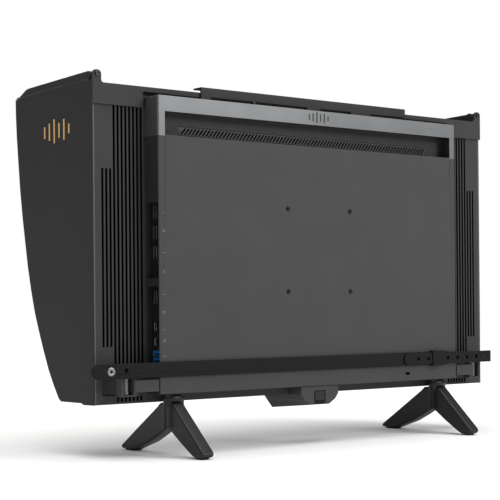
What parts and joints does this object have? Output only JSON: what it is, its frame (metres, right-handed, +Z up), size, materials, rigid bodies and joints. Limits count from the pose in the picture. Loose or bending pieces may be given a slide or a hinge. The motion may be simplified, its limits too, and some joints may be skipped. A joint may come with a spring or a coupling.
{
  "type": "hooded desktop monitor",
  "caption": "Wide flat-panel monitor with a light-shading hood, short A-shaped legs, rear chassis with side connectors, a rubber strap and a folding calibration sensor.",
  "frame": {"origin": "middle of the VESA hole pattern, on the back face of the chassis", "axes": "+X along the width towards the side with the data connectors, +Y out of the back, +Z up; the screen faces -Y"},
  "size_m": [0.6387, 0.2554, 0.4332],
  "materials": {
    "shell": "fine matt texture",
    "cover": "fine matt texture",
    "hood": "matt",
    "trim": "matt",
    "cap": "brushed along X",
    "frame_black": "matt black",
    "screen": "dark anti-glare front sheet",
    "backlight": "white moulding",
    "tray_steel": "zinc plated sheet",
    "port_blue": "blue insert",
    "board_green": "solder mask",
    "dark_steel": "black oxide",
    "bright_steel": "polished",
    "strap_rubber": "satin",
    "leg_paint": "semi-gloss",
    "foot_rubber": "matt",
    "sensor_window": "diffuser"
  },
  "bodies": {
    "head": {"rear_chassis": "shell", "recess_tray": "shell", "hood_rear_flange": "shell", "side_bracket_left": "shell", "side_bracket_right": "shell", "sensor_housing": "shell", "display_rear_cover": "cover", "hood_side_left": "hood", "hood_side_right": "hood", "hinge_block_left": "trim", "hinge_block_right": "trim", "hood_joint_cover": "trim", "aluminium_cap": "cap", "front_bezel": "frame_black", "vent_grille": "frame_black", "port_plate": "frame_black", "power_inlet": "frame_black", "strap_post_left": "frame_black", "strap_post_right": "frame_black", "display_glass": "screen", "backlight_unit": "backlight", "board_tray": "tray_steel", "hdmi_port_1": "tray_steel", "hdmi_port_2": "tray_steel", "hdmi_port_3": "tray_steel", "display_port": "tray_steel", "usb_c_port_1": "tray_steel", "usb_c_port_2": "tray_steel", "usb_a_port_1": "port_blue", "usb_a_port_2": "port_blue", "main_board": "board_green", "vesa_insert_1": "dark_steel", "vesa_insert_2": "dark_steel", "vesa_insert_3": "dark_steel", "vesa_insert_4": "dark_steel", "audio_jack": "dark_steel", "tab_screw_left": "dark_steel", "tab_screw_right": "dark_steel", "leg_screw_left": "dark_steel", "leg_screw_right": "dark_steel", "bracket_pin_left": "bright_steel", "bracket_pin_right": "bright_steel", "strap_eyelet": "bright_steel", "sensor_pin": "bright_steel", "strap_band": "strap_rubber", "strap_tail": "strap_rubber", "strap_keeper": "strap_rubber", "leg_left": "leg_paint", "leg_right": "leg_paint", "foot_pad_front_left": "foot_rubber", "foot_pad_front_right": "foot_rubber", "foot_pad_rear_left": "foot_rubber", "foot_pad_rear_right": "foot_rubber"},
    "lid": {"hood_lid_left": "hood", "hood_lid_right": "hood"},
    "sensor_arm": {"sensor_arm": "trim", "sensor_lens": "sensor_window"},
    "sensor_key": {"sensor_key": "trim"},
    "power_button": {"power_button": "trim"},
    "menu_button": {"menu_button": "trim"}
  },
  "joints": [
    {"name": "lid_hinge", "type": "hinge", "parent": "head", "child": "lid", "pos_m": [0, -0.032, 0.1911], "axis": [-1, 0, 0], "range_deg": [0, 100]},
    {"name": "sensor_arm_hinge", "type": "hinge", "parent": "head", "child": "sensor_arm", "pos_m": [0, -0.0635, -0.1795], "axis": [-1, 0, 0], "range_deg": [0, 270]},
    {"name": "sensor_key_press", "type": "slide", "parent": "head", "child": "sensor_key", "axis": [0, -1, 0], "range_m": [0, 0.001], "stiffness_N_per_m": 400},
    {"name": "power_button_press", "type": "slide", "parent": "head", "child": "power_button", "axis": [1, 0, 0], "range_m": [0, 0.0008], "stiffness_N_per_m": 400},
    {"name": "menu_button_press", "type": "slide", "parent": "head", "child": "menu_button", "axis": [1, 0, 0], "range_m": [0, 0.0008], "stiffness_N_per_m": 400}
  ]
}
